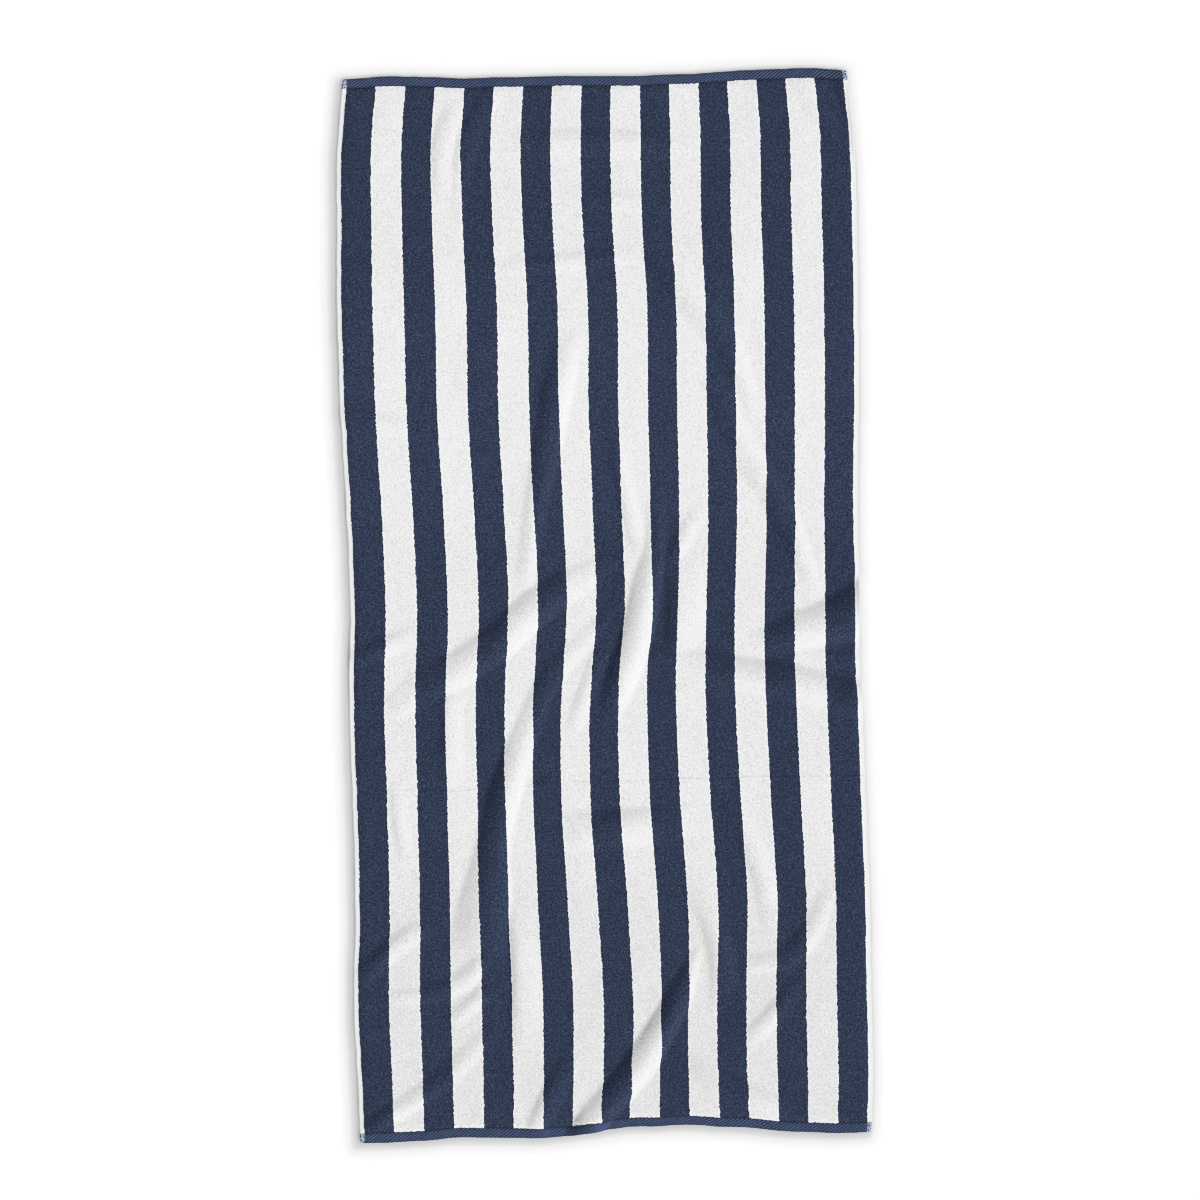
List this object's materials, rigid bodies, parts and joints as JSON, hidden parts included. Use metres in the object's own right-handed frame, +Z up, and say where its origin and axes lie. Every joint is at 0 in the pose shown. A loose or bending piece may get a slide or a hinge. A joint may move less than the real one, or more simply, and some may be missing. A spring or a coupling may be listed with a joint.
{
  "type": "beach towel",
  "caption": "Flat beach towel in cotton terry, striped lengthwise in navy and white, lying face up with soft ridges and creases",
  "frame": {"origin": "middle of the towel's bounding box, on the underside that rests on the surface", "axes": "+X across the stripes to the right, +Y along the towel to its upper hem, +Z up from the surface"},
  "size_m": [0.7854, 1.6074, 0.0172],
  "materials": {
    "striped_terry": "looped cotton pile, matt, navy and white stripes"
  },
  "bodies": {
    "root": {"towel": "striped_terry"}
  },
  "joints": []
}
